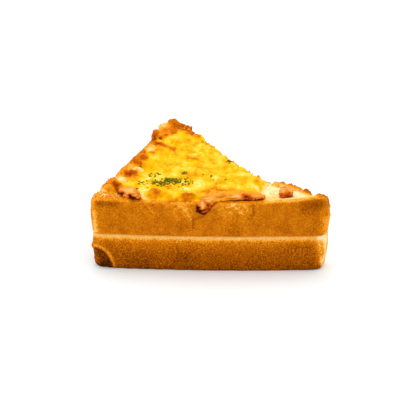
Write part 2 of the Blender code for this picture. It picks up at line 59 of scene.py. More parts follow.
loaf = dict(
    hub=Vector((-0.01128, -0.01626, 0.0)),  # every side is in sight from here
    tipRight=Vector((0.06113, -0.05166, 0.0)),  # where the cut meets the crust
    tipBack=Vector((-0.01477, 0.06026, 0.0)),
    cutSag=0.0095,  # the cut bows inwards by less than this
    rays=360,  # sent from the hub to find the sides
    raysAt=0.4,  # how far up the slice they run, as a share
    crustThick=0.0024,
    crustFade=0.0009,  # over this it turns to crumb
    crustWander=[(0.0005, 0.003, 2.0)],  # as rough() takes it
    facingUp=(0.35, 0.85),  # height of a normal where a top begins, and where it is whole
    facingFlat=(0.90, 0.99),  # the same for the flat faces at the seam
)

# How far from its path a mark still shows, in metres, so that it stays on its own surface
markReach = dict(
    whole=0.003,
    gone=0.008,
    goneByPixel=0.0006,  # more for each pixel of its half width
    wander=0.35,  # how uneven its outline is
    wanderGrain=0.0016,
    wanderSeed=7.0,
)


def photoRay(x, y):
    # direction from the camera through a pixel of the photo
    pixel = photo["sensor"] / photo["lens"] / photo["pixels"]
    ahead = Vector(((x - photo["pixels"] / 2) * pixel, 1.0, (photo["pixels"] / 2 - y) * pixel))
    return Matrix.Rotation(-photo["lookDown"], 3, "X") @ ahead


def spotOn(surface, x, y):
    # where a pixel of the photo meets a surface, or else passes closest to it
    ray = photoRay(x, y).normalized()
    place = surface.ray_cast(photo["cameraAt"], ray)[0]
    if place is None:
        reaches = range(480, 660, 2)  # in mm from the camera
        found = [surface.find_nearest(photo["cameraAt"] + ray * reach / 1000) for reach in reaches]
        place = min(found, key=lambda hit: hit[3])[0]
    return np.array(place)


def rimOf(points, steps):
    # the outermost spots round a flat heap of points, seen from the hub
    offset = points - np.array(loaf["hub"])
    sector = ((np.arctan2(offset[:, 1], offset[:, 0]) / math.tau) % 1 * steps).astype(int)
    reach = np.hypot(offset[:, 0], offset[:, 1])
    spots = [points[sector == step][reach[sector == step].argmax()] * (1, 1, 0) for step in range(steps)]
    return [*spots, spots[0]]


def heightUnder(points, surface):
    # height of a surface under or over each point
    heights = []
    for x, y, z in points.tolist():
        hit = surface.ray_cast(Vector((x, y, 0.1)), Vector((0, 0, -1)))[0]
        heights.append(hit.z if hit else z)
    return np.array(heights)


def smoothStep(low, high, values):
    share = np.clip((values - low) / (high - low), 0, 1)
    return share * share * (3 - 2 * share)


def noiseOver(points, grain, seed=0.0, octaves=3):
    # fractal noise, about -1 to 1; grain is one size or a size for each axis
    return np.array([noise.fractal(row, 0.9, 2.0, octaves) for row in (points / grain + seed).tolist()])


def rough(points, layers):
    # sum of noises; each is its strength, grain and seed
    return sum(strength * noiseOver(points, grain, seed) for strength, grain, seed in layers)


def creased(points, grain, seed, sharpness):
    # thin lines, 1 along them and about 0 between them
    return (1 - np.abs(noiseOver(points, grain, seed, 2))) ** sharpness


def cellsOver(points, grain, seed=0.0):
    # distance to the middle of the nearest cell, about 0 to 1
    return np.array([noise.voronoi(row)[0][0] for row in (points / grain + seed).tolist()])


def nearPath(points, path, farthest=1.0):
    # distance from each point to a path of one or more spots
    nearest = np.full(len(points), farthest)
    for start, end in zip(path, path[1:] or path):
        along = end - start
        share = np.clip((points - start) @ along / max(along @ along, 1e-12), 0, 1)
        gap = np.linalg.norm(points - start - share[:, None] * along, axis=1)
        nearest = np.minimum(nearest, gap)
    return nearest


def pixelsOf(points):
    # where points are seen on the photo
    turn = np.array(Matrix.Rotation(photo["lookDown"], 3, "X"))
    across, ahead, above = turn @ (points - np.array(photo["cameraAt"])).T
    pixel = photo["sensor"] / photo["lens"] / photo["pixels"]
    return photo["pixels"] / 2 + np.stack((across, -above), 1) / ahead[:, None] / pixel


def marked(points, surface, marks):
    # sum of soft marks; each is its strength, half width and path, in pixels of the photo
    seen = pixelsOf(points)
    warp = noiseOver(points, markReach["wanderGrain"], markReach["wanderSeed"], 2)
    warp = 1 + markReach["wander"] * warp
    total = np.zeros(len(points))
    for strength, width, *path in marks:
        spots = [spotOn(surface, *pixel) for pixel in path]
        gone = markReach["gone"] + markReach["goneByPixel"] * width
        near = 1 - smoothStep(markReach["whole"], gone, nearPath(points, spots))
        gap = nearPath(seen, [np.array(pixel) for pixel in path], 1000)
        total += strength * near * np.exp(-((gap * warp / width) ** 2))
    return total


def pointsOf(mesh):
    points = np.empty(len(mesh.vertices) * 3)
    mesh.vertices.foreach_get("co", points)
    return points.reshape(-1, 3)


def normalsOf(mesh):
    normals = np.empty(len(mesh.vertices) * 3)
    mesh.vertices.foreach_get("normal", normals)
    return normals.reshape(-1, 3)


def movePoints(mesh, points):
    mesh.vertices.foreach_set("co", points.ravel())
    mesh.update()


def spread(mesh, values, rounds):
    # values evened out over neighbouring points
    edges = np.empty(len(mesh.edges) * 2, int)
    mesh.edges.foreach_get("vertices", edges)
    first, second = edges.reshape(-1, 2).T
    size = len(values)
    neighbours = np.bincount(first, minlength=size) + np.bincount(second, minlength=size)
    for _ in range(rounds):
        total = np.bincount(first, values[second], size) + np.bincount(second, values[first], size)
        values = 0.5 * values + 0.5 * total / neighbours
    return values


def paint(mesh, name, values):
    layer = mesh.attributes.new(name, "FLOAT", "POINT")
    layer.data.foreach_set("value", np.clip(values, 0, 1))


def surfaceOf(piece):
    return BVHTree.FromPolygons(
        [vertex.co for vertex in piece.data.vertices],
        [face.vertices for face in piece.data.polygons],
    )


def evenSkin(nodeName, name, settings):
    # a CAD solid as one even skin, its facets softened
    shape = bmesh.new()
    shape.from_mesh(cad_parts[nodeName].data)
    bmesh.ops.remove_doubles(shape, verts=shape.verts, dist=1e-6)
    mesh = bpy.data.meshes.new(name)
    shape.to_mesh(mesh)
    shape.free()
    piece = bpy.data.objects.new(name, mesh)
    bpy.context.scene.collection.objects.link(piece)
    remesh = piece.modifiers.new("even", "REMESH")
    remesh.mode = "VOXEL"
    remesh.voxel_size = settings["voxel"]
    relax = piece.modifiers.new("relax", "SMOOTH")
    relax.factor = 0.5
    relax.iterations = settings["relaxing"]
    graph = bpy.context.evaluated_depsgraph_get()
    piece.data = bpy.data.meshes.new_from_object(piece.evaluated_get(graph))
    piece.data.name = name
    piece.modifiers.clear()
    piece.data.materials.clear()
    return piece


def finished(piece, nodeName, material):
    if material:
        piece.data.materials.append(material)
    piece.data.polygons.foreach_set("use_smooth", [True] * len(piece.data.polygons))
    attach(piece, "root")
    if nodeName:
        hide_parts(nodeName)
    print(piece.name, "done:", sum(len(face.vertices) - 2 for face in piece.data.polygons), "triangles")


class Wire:
    # a node tree's socket that can be written in sums
    def __init__(self, tree, socket=None):
        self.tree = tree
        self.socket = socket

    def node(self, kind, settings=None, sockets=None, output=0):
        made = self.tree.nodes.new(kind)
        for key, value in (settings or {}).items():
            if key == "stops":
                self.setStops(made.color_ramp, value)
            else:
                setattr(made, key, value)
        for key, value in (sockets or {}).items():
            if isinstance(value, Wire):
                self.tree.links.new(value.socket, made.inputs[key])
            else:
                made.inputs[key].default_value = value
        return Wire(self.tree, made.outputs[output] if made.outputs else None)

    def setStops(self, ramp, stops):
        while len(ramp.elements) < len(stops):
            ramp.elements.new(1.0)
        for element, (place, colour) in zip(ramp.elements, stops):
            element.position = place
            element.color = linear(colour)

    def sum(self, operation, first, second):
        return self.node("ShaderNodeMath", {"operation": operation}, {0: first, 1: second})

    def __add__(self, other):
        return self.sum("ADD", self, other)

    def __radd__(self, other):
        return self.sum("ADD", other, self)

    def __sub__(self, other):
        return self.sum("SUBTRACT", self, other)

    def __rsub__(self, other):
        return self.sum("SUBTRACT", other, self)

    def __mul__(self, other):
        return self.sum("MULTIPLY", self, other)

    def __rmul__(self, other):
        return self.sum("MULTIPLY", other, self)

    def out(self, name):
        # another output of the same node
        return Wire(self.tree, self.socket.node.outputs[name])

    def over(self, level):
        # how far it rises over a level, else nothing
        return self.sum("MAXIMUM", self - level, 0.0)


def linear(colour):
    # a screen colour, 0 to 255, as the shader takes it
    shares = [channel / 255 for channel in colour]
    return (*[s / 12.92 if s <= 0.04045 else ((s + 0.055) / 1.055) ** 2.4 for s in shares], 1.0)


def painted(tree, name):
    return tree.node("ShaderNodeAttribute", {"attribute_name": name}, output=2)


def speckle(tree, grain, detail=2.0, stretch=(1.0, 1.0, 1.0)):
    # noise of about that grain in metres, 0 to 1
    place = tree.node("ShaderNodeTexCoord", output=3)
    place = tree.node("ShaderNodeMapping", {"vector_type": "POINT"}, {0: place, 3: stretch})
    return tree.node("ShaderNodeTexNoise", {}, {"Vector": place, "Scale": 1 / grain, "Detail": detail})


def ramp(tree, value, stops):
    return tree.node("ShaderNodeValToRGB", {"stops": stops}, {0: value})


def newMaterial(name, uniform):
    # a material, its tree and its shader, with the values that are the same all over
    made = bpy.data.materials.new(name)
    made.use_nodes = True
    shader = made.node_tree.nodes["Principled BSDF"]
    for key, value in uniform.items():
        shader.inputs[key].default_value = value
    return made, Wire(made.node_tree), shader


def plug(tree, shader, sockets):
    for key, wire in sockets.items():
        tree.tree.links.new(wire.socket, shader.inputs[key])


def bumped(tree, grain, depth):
    # a normal roughened by fine noise
    height = speckle(tree, grain, 3.0)
    return tree.node("ShaderNodeBump", {}, {"Strength": 1.0, "Distance": depth, "Height": height})


def specks(tree, grain, level, strength):
    # noise that shows only where it rises over a level
    return speckle(tree, grain, 1.0).over(level) * strength


bread = dict(
    crumb=[  # pale crumb to burnt, screen colours
        (0.00, (250, 234, 180)),
        (0.12, (254, 212, 130)),
        (0.24, (254, 187, 82)),
        (0.34, (248, 160, 36)),
        (0.44, (229, 133, 12)),
        (0.56, (202, 110, 6)),
        (0.70, (166, 84, 1)),
        (0.84, (124, 58, 1)),
        (1.00, (60, 24, 0)),
    ],
    uniform={"Roughness": 0.75, "Specular IOR Level": 0.02},
    freckleGrain=0.0007,
    streakGrain=0.0018,
    pinholes=(0.0016, 0.70, 1.0),  # grain, level where they start, strength
    flour=(0.0008, 0.60, 0.7),
    softened=0.8,  # how much less of these soft crumb has
    pitTone=120.0,  # how much browner for each metre of relief, and how much darker for each metre of a pore's depth, a painted shade inside the pores
    bump=(0.0007, 0.0003),  # grain and depth
    voxel=0.00058,
    relaxing=8,
)


def breadMaterial(name, freckles, streaks, stretch):
    made, tree, shader = newMaterial(name, bread["uniform"])
    fine = speckle(tree, bread["freckleGrain"])
    streak = speckle(tree, bread["streakGrain"], stretch=stretch)
    grainy = (fine - 0.5) * freckles + (streak - 0.5) * streaks
    grainy = grainy + specks(tree, *bread["pinholes"]) - specks(tree, *bread["flour"])
    # The painted tone holds browning and also the painted light and shade of each piece
    tone = painted(tree, "bake") + grainy * (1.0 - painted(tree, "soft") * bread["softened"])
    colour = ramp(tree, tone, bread["crumb"])
    plug(tree, shader, {"Base Color": colour, "Normal": bumped(tree, *bread["bump"])})
    return made


def crustPaths():
    # the crusted sides and the cut, as two flat paths round the upper slice
    walls = surfaceOf(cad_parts["bread_upper"])
    low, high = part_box("bread_upper")
    start = loaf["hub"] + Vector((0, 0, low.z + loaf["raysAt"] * (high.z - low.z)))
    chord = loaf["tipBack"] - loaf["tipRight"]
    ahead = chord.normalized()
    crust, cut = [], []
    turnToTip = math.atan2(*(loaf["tipBack"] - loaf["hub"]).yx)
    for step in range(loaf["rays"]):
        turn = turnToTip + math.tau * step / loaf["rays"]
        place = walls.ray_cast(start, Vector((math.cos(turn), math.sin(turn), 0)))[0]
        offset = place - loaf["tipRight"]
        offset.z = 0
        share = offset.dot(ahead) / chord.length
        inside = (offset - ahead * offset.dot(ahead)).length
        onCut = 0.01 < share < 0.99 and inside < loaf["cutSag"]
        (cut if onCut else crust).append(np.array((place.x, place.y, 0.0)))
    return crust, cut


crustPath, cutPath = crustPaths()

# Browned and pale places of the whole top, whatever lies there, as marked() takes them; the marks round the
# ham are painted shade where it shades the top
topMarks = [
    (0.24, 4.6, (115.5, 185.5)),  # left nugget and its skirt
    (0.24, 3.2, (107, 190), (112, 191), (120, 191)),
    (0.34, 2.6, (125, 172.5)),  # lumps along the left rim
    (0.36, 3.2, (131, 172.5), (135, 173.5)),
    (0.18, 3.4, (128, 176), (139, 177)),
    (0.40, 2.4, (134, 162), (139, 163.5)),
    (0.14, 3.6, (136, 158), (144, 155)),
    (0.10, 2.6, (147, 157), (152, 153)),
    (0.18, 3.0, (144, 164)),
    (0.34, 2.0, (144, 151.5)),
    (0.30, 4.8, (153.5, 136)),
    (0.12, 2.8, (160, 138), (166, 136)),
    (0.20, 2.2, (151, 139), (151, 134)),
    (0.40, 1.9, (154, 142), (163, 145), (174, 149)),
    (0.23, 5.0, (170, 121), (178, 123)),  # apex
    (0.22, 3.8, (163, 131), (174, 129)),
    (0.20, 2.0, (172, 132), (176, 131.5)),
    (0.36, 1.4, (174.5, 125)),
    (0.40, 1.6, (180.5, 125), (184, 125)),
    (0.30, 3.8, (183, 128), (191, 131)),
    (0.16, 2.6, (194, 134), (204, 138), (212, 145)),
    (0.13, 6.2, (155.5, 194)),  # two domes at the front
    (0.10, 2.2, (157.5, 193), (159, 194)),
    (0.08, 2.4, (150, 195), (155, 197.5), (161, 195.5)),
    (0.19, 4.4, (184, 197.8), (191, 197.8)),
    (0.10, 2.4, (183, 196)),
    (0.16, 2.0, (170, 200.5), (177, 200)),
    (0.24, 2.0, (217, 183), (224, 182)),
    (0.22, 3.0, (206, 191), (222, 190), (240, 192)),
    # browner round the ham, a painted shade where the ham shades the top
    (0.30, 3.0, (120, 192), (132, 199)),  # round the ham
    (0.30, 2.4, (213, 201), (236, 201), (262, 200)),
    (0.10, 2.2, (192, 175), (204, 172)),
    (0.16, 1.2, (188, 157), (199, 160)),
    (0.14, 3.4, (262, 190), (256, 182)),
    (0.28, 2.6, (304, 190), (310, 192)),  # along the cut
    (0.24, 2.6, (318, 195), (330, 197)),
    (0.10, 1.8, (272, 180.5), (285, 182), (296, 186)),
    (-0.26, 3.0, (290, 192), (302, 195)),
    (-0.18, 2.2, (274, 187.5), (282, 188)),
    (-0.20, 4.0, (145, 190)),
    (-0.27, 3.2, (160, 129), (165, 125)),
    (-0.14, 1.8, (135, 168), (140, 169)),
    (-0.14, 2.2, (118, 180), (124, 178)),
    (-0.12, 2.6, (150, 149)),
    (-0.10, 4.0, (98, 189), (106, 186)),
    (-0.24, 4.0, (198, 182)),
    (-0.06, 4.0, (97, 194), (118, 194)),
    (-0.24, 3.0, (196, 188), (202, 187)),
    (-0.24, 2.6, (143, 194), (147.5, 199)),
    (-0.20, 2.0, (148, 178), (158, 180)),
    (-0.16, 2.4, (226, 187), (214, 178)),
    (-0.14, 6.0, (204, 142), (228, 157), (258, 178)),
    (-0.17, 3.0, (240, 185), (258, 186)),
    (-0.10, 3.8, (270, 178), (271, 184), (266, 192)),
    (-0.12, 3.0, (176, 190), (190, 190)),
]


def breadFields(points, normals):
    # distances and masks that both slices share
    flat = points * (1, 1, 0)
    fields = dict(
        fromCrust=nearPath(flat, crustPath),
        fromCut=nearPath(flat, cutPath),
        up=smoothStep(*loaf["facingUp"], normals[:, 2]),
        level=smoothStep(*loaf["facingUp"], np.abs(normals[:, 2])),
    )
    within = fields["fromCrust"] + rough(points, loaf["crustWander"])
    fields["crust"] = 1 - smoothStep(loaf["crustThick"], loaf["crustThick"] + loaf["crustFade"], within)
    fields["wall"] = fields["crust"] * (1 - fields["level"])
    fields["crumb"] = 1 - fields["crust"]
    return fields


pores = dict(
    bend=[(0.0008, 0.004, 8.0)],  # pores aren't round
    wall=(0.15, 0.45),  # where a pore's side starts and ends, as a share of its cell
    wide=((0.0034, 0.0034, 0.0024), 4.0),  # grain and seed
    wideDeep=0.0011,
    widePatch=(0.006, 18.0),  # wide ones come in patches
    widePatchEdge=(-0.2, 0.4),
    small=(0.0017, 9.0),
    smallDeep=0.0005,
)


def crumbPits(points, crumb):
    # open pores where the crumb is bare
    bent = points + rough(points, pores["bend"])[:, None]
    wide = 1 - smoothStep(*pores["wall"], cellsOver(bent, *pores["wide"]))
    wide *= smoothStep(*pores["widePatchEdge"], noiseOver(points, *pores["widePatch"]))
    small = 1 - smoothStep(*pores["wall"], cellsOver(bent, *pores["small"]))
    return crumb * (pores["wideDeep"] * wide + pores["smallDeep"] * small)


# The lifted edge of a torn flap of crust, at the lower left
flapEdge = [(95, 245.3), (99, 246), (103, 248), (107, 251.5), (110.5, 256.5), (113, 261), (114.5, 265)]

lower = dict(
    toneByHeight=[  # height in mm, how dark; the darkening towards the bottom is partly browning and partly painted shade near the floor
        (0.0, 0.82),
        (1.0, 0.78),
        (4.4, 0.73),
        (7.8, 0.70),
        (9.5, 0.69),
        (11.1, 0.65),
        (12.8, 0.61),
        (14.9, 0.55),
        (16.3, 0.46),
        (17.1, 0.31),
        (17.8, 0.22),
        (18.3, 0.17),
        (19.3, 0.14),
    ],
    browningAndShading=[
        # darker in the hollow under the lifted flap, a painted shade
        (0.16, 3.0, (100, 265), (111, 266)),
        (0.17, 3.4, (99, 254), (103, 259), (107, 265)),
        (-0.31, 1.5, *flapEdge),
        # darker just under the flap's lifted edge, a painted shade
        (0.20, 1.4, (96, 248.5), (103, 252), (108, 258), (111, 264)),
        (0.04, 6.5, (296, 241), (312, 240)),
        (0.07, 4.0, (284, 247), (310, 247)),
        (0.04, 8.0, (130, 262), (150, 264)),
        (0.06, 7.6, (180, 256), (190, 258)),
        (-0.50, 2.6, (325.5, 238), (325.5, 254), (322, 264)),
        (-0.25, 3.4, (320, 238), (320, 260)),
        (-0.05, 3.0, (93, 237), (94, 242)),
        (-0.08, 1.3, (98.5, 242), (100, 239.5), (104, 238)),
        (0.06, 3.0, (95, 240), (104, 243)),
        (0.07, 3.0, (107, 242), (112, 248)),
    ],
    raised=[
        (0.0007, 1.5, *flapEdge),
        (-0.0005, 4.0, (98, 253), (105, 261)),
    ],
    rough=[(0.00025, 0.008, 1.0), (0.00012, 0.0022, 3.0)],
    crumbRough=[(0.0003, 0.0035, 5.0)],
    ledge=0.0007,  # its upper edge swells out by this
    ledgeFrom=(0.0168, 0.0182),  # heights where that starts and is whole
    flatTo=0.0012,  # its underside stays flat up to here
    underFrom=(0.92, 0.99),  # height of a normal where the underside's tone begins and is whole
    underTone=0.60,
    crumbTone=0.04,
    wallSpeckled=[(0.03, 0.006, 11.0)],  # uneven browning of the crust
    softest=0.7,  # how plain the crust gets along its upper edge
    softFrom=(0.0165, 0.0182),
    grainy=dict(freckles=0.8, streaks=0.2, stretch=(1.0, 1.0, 0.6)),
)


def lowerSlice():
    piece = evenSkin("bread_lower", "lowerSlice", bread)
    mesh = piece.data
    surface = surfaceOf(piece)
    points, normals = pointsOf(mesh), normalsOf(mesh)
    height = points[:, 2]
    fields = breadFields(points, normals)
    pits = crumbPits(points, fields["crumb"])
    rounding = fields["crust"] * (1 - smoothStep(*loaf["facingFlat"], normals[:, 2]))
    lift = rough(points, lower["rough"]) + marked(points, surface, lower["raised"]) - pits
    lift += fields["crumb"] * rough(points, lower["crumbRough"])
    lift += lower["ledge"] * rounding * smoothStep(*lower["ledgeFrom"], height)
    lift *= smoothStep(0.0, lower["flatTo"], height)
    movePoints(mesh, points + normals * lift[:, None])
    heights, tones = zip(*lower["toneByHeight"])
    side = 1 - smoothStep(*lower["underFrom"], np.abs(normals[:, 2]))
    # darker towards the bottom: browning together with painted shade near the floor
    bake = np.interp(height * 1000, heights, tones) * side + lower["underTone"] * (1 - side)
    # pores are darkened by their depth, a painted shade
    bake = bake * fields["crust"] + fields["crumb"] * lower["crumbTone"] + bread["pitTone"] * pits
    bake += fields["wall"] * rough(points, lower["wallSpeckled"])
    bake += marked(points, surface, lower["browningAndShading"])
    paint(mesh, "bake", bake)
    soft = lower["softest"] * smoothStep(*lower["softFrom"], height)
    paint(mesh, "soft", np.maximum(fields["crumb"], soft))
    finished(piece, "bread_lower", breadMaterial("lowerCrust", **lower["grainy"]))


# A pale skin of crust that cracked and lifted under the ham
liftedSkin = [(227, 208), (231, 206.5), (234, 204.5), (239, 204), (243, 205.5), (247, 208), (249, 213)]

upper = dict(
    skirt=0.0004,  # its lower edge swells out by this
    toneByHeight=[  # height over the seam in mm, how browned
        (0.0, 0.36),
        (0.3, 0.50),
        (0.7, 0.56),
        (4.0, 0.57),
        (12.0, 0.56),
        (16.5, 0.54),
        (18.0, 0.53),
        (19.3, 0.43),
    ],
    browningAndShading=[
        (0.16, 4.0, (97, 203), (116, 204)),
        (-0.06, 4.0, (98, 222), (98, 232)),
        (0.04, 5.0, (112, 226), (125, 231)),
        (-0.10, 7.0, (185, 204), (192, 215)),
        (-0.05, 5.0, (168, 202), (176, 206)),
        (-0.06, 5.0, (215, 204), (245, 206)),
        (0.05, 5.0, (172, 225), (190, 228)),
        (-0.05, 6.0, (224, 216), (240, 218)),
        (-0.05, 5.0, (200, 224), (208, 228)),
        (0.19, 6.4, (306, 206), (320, 204)),
        (0.10, 3.0, (302, 200), (321, 198)),
        (-0.18, 3.0, (326, 220), (326, 233)),
        (-0.22, 2.6, (330, 208), (330, 228)),
        # paler down the left edge, a painted highlight where the crust turns to the side
        (-0.22, 2.2, (93, 201), (93, 211)),
        (-0.24, 2.4, (93, 197), (104, 198), (120, 198.5)),
        # paler down the left edge, a painted highlight where the crust turns to the side
        (-0.28, 2.4, (94, 214), (95.5, 232)),
        (-0.10, 1.2, (143, 200), (149, 208), (154, 214)),
        (0.10, 1.0, (141.5, 201), (147.5, 209), (152.5, 215)),
        (-0.12, 1.2, (178, 203), (184, 208), (191, 219)),
        (-0.08, 1.0, (191, 219), (191.5, 229)),
        # darker in the two grooves cut here, a painted shade
        (0.16, 0.8, (193, 219), (193, 229)),
        (0.10, 1.2, (194, 220), (203, 216)),
        (-0.16, 1.6, (213, 203), (236, 203)),
        (-0.16, 1.4, (232, 205), (243, 214)),
        (0.18, 1.4, (253, 204), (254, 213)),
        (-0.26, 3.0, (160, 129), (165, 125)),
        (0.06, 2.0, (238, 202), (262, 201)),
        (-0.12, 0.9, *liftedSkin),
        (-0.10, 0.8, (229, 213), (233, 209.5), (237, 208)),
    ],
    raised=[
        (0.0008, 2.6, (162, 127), (166, 123)),
        (0.0008, 2.6, (170, 120.5)),
        (0.0013, 2.6, (181, 124), (186, 126)),
        (0.0005, 2.2, (151.5, 137)),
        (0.0010, 1.8, (160.5, 130)),
        (-0.0014, 2.8, (115.4, 177)),
        (0.0005, 2.0, (110, 180)),
        (-0.0009, 2.6, (93, 193.5), (97, 190.5)),
        (-0.0008, 2.4, (99.5, 188.5), (104.5, 184)),
        (0.0014, 2.0, (127.5, 198)),
        (0.0007, 2.4, (137, 169), (141, 168)),
        (0.0008, 3.4, (331, 215)),
        (0.0005, 1.4, (330, 206)),
        (0.0005, 1.4, (331, 224)),
        (0.0004, 1.9, (143, 200), (149, 208), (154, 214)),
        (0.0004, 1.9, (178, 203), (184, 208), (191, 219)),
        (0.0003, 1.5, (191, 219), (191, 229)),
        (-0.0006, 1.3, (193.5, 219), (193.5, 229)),
        (-0.0005, 1.5, (194, 220), (204, 216)),
        (0.0004, 1.9, (213, 204), (236, 204)),
        (0.0004, 1.5, (232, 205), (243, 214)),
        (0.0004, 1.2, *liftedSkin),
    ],
    wrinkled=[  # crust that cracked fine
        (0.9, 9.5, (170, 205), (190, 212)),
        (1.0, 7.6, (214, 206), (240, 209), (252, 208)),
        (0.6, 5.7, (150, 212), (154, 220)),
    ],
    cracks=(0.0030, 15.0, 6),  # grain, seed and sharpness
    crackHigh=0.0003,
    crackTone=-0.15,
    rough=[(0.00025, 0.008, 1.0), (0.00010, 0.0022, 3.0)],
    closedOnTop=0.7,  # how much shallower the top's pores are
    rimWide=0.004,  # along the crust, on top
    edgeWide=0.0022,  # along the cut
    rimRough=[(0.0005, 0.0016, 5.0)],
    edgeRough=[(0.0007, 0.0040, 6.0)],
    skirtTo=(0.0004, 0.0014),  # heights over the seam where the skirt ends
    wallSpeckled=[(0.09, (0.005, 0.005, 0.009), 11.0)],
    topTones=dict(plain=0.09, nearCrust=0.06, nearCrustLeft=0.12, rim=0.12, edge=0.26),
    nearCrust=0.010,  # how far from the crust the top stays browner
    leftEnd=(-0.03, 0.03),  # more so at the left: whole at the first, gone at the second
    topSpeckled=[(0.10, 0.004, 12.0), (0.08, 0.0015, 13.0)],
    crumbTones=dict(plain=0.03, edge=0.4, steepTop=0.4),
    edgeFrom=(0.033, 0.038),  # heights where the cut's edge starts to brown, and is brown
    steepInside=(0.0015, 0.0030),  # the same for steep crumb of the top, by distance from the cut
    steepFrom=(0.030, 0.032),  # and by height
    peaksFrom=(0.0375, 0.0390),  # heights of the lumps that brown whichever way they face
    smoothing=120,  # rounds that even the top out, to find its relief
    grainy=dict(freckles=0.52, streaks=0.12, stretch=(1.0, 1.0, 0.8)),
)


def upperSlice():
    piece = evenSkin("bread_upper", "upperSlice", bread)
    mesh = piece.data
    surface = surfaceOf(piece)
    points, normals = pointsOf(mesh), normalsOf(mesh)
    height = points[:, 2]
    fields = breadFields(points, normals)
    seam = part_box("bread_upper")[0].z
    rim = fields["up"] * np.exp(-fields["fromCrust"] / upper["rimWide"])
    edge = np.exp(-fields["fromCut"] / upper["edgeWide"]) * fields["crumb"]
    pits = crumbPits(points, fields["crumb"] * (1 - upper["closedOnTop"] * fields["up"]))
    rounding = fields["crust"] * (1 - smoothStep(*loaf["facingFlat"], -normals[:, 2]))
    cracks = creased(points, *upper["cracks"])
    cracks *= np.clip(marked(points, surface, upper["wrinkled"]), 0, 1)
    lift = rough(points, upper["rough"]) + marked(points, surface, upper["raised"]) - pits
    lift += upper["skirt"] * rounding * (1 - smoothStep(*upper["skirtTo"], height - seam))
    lift += (rim + edge) * rough(points, upper["rimRough"]) + edge * rough(points, upper["edgeRough"])
    lift += upper["crackHigh"] * cracks
    movePoints(mesh, points + normals * lift[:, None])
    heights, tones = zip(*upper["toneByHeight"])
    wallBake = np.interp((height - seam) * 1000, heights, tones)
    relief = height - spread(mesh, height, upper["smoothing"])
    leftEnd = np.interp(points[:, 0], upper["leftEnd"], (1, 0))
    tones = upper["topTones"]
    nearCrust = np.exp(-fields["fromCrust"] / upper["nearCrust"])
    topBakeAndShade = tones["plain"] + (tones["nearCrust"] + tones["nearCrustLeft"] * leftEnd) * nearCrust
    topBakeAndShade += tones["rim"] * rim + tones["edge"] * edge + bread["pitTone"] * np.maximum(relief, 0)
    topBakeAndShade += rough(points, upper["topSpeckled"]) + marked(points, surface, topMarks)
    tones = upper["crumbTones"]
    brownEdge = smoothStep(*upper["edgeFrom"], height) * edge
    # pores are darkened by their depth, a painted shade
    crumbBakeAndShade = tones["plain"] + tones["edge"] * brownEdge + bread["pitTone"] * pits
    steepTop = smoothStep(*upper["steepInside"], fields["fromCut"])
    steepTop *= smoothStep(*upper["steepFrom"], height)
    crumbBakeAndShade += tones["steepTop"] * np.maximum(steepTop, smoothStep(*upper["peaksFrom"], height))
    bake = fields["crust"] * wallBake + fields["crumb"] * crumbBakeAndShade
    bake = bake * (1 - fields["up"]) + topBakeAndShade * fields["up"]
    bake += fields["wall"] * (rough(points, upper["wallSpeckled"]) + upper["crackTone"] * cracks)
    bake += fields["wall"] * marked(points, surface, upper["browningAndShading"])
    paint(mesh, "bake", bake)
    paint(mesh, "soft", fields["crumb"] * (1 - edge))
    finished(piece, "bread_upper", breadMaterial("upperCrust", **upper["grainy"]))
    return piece, surface


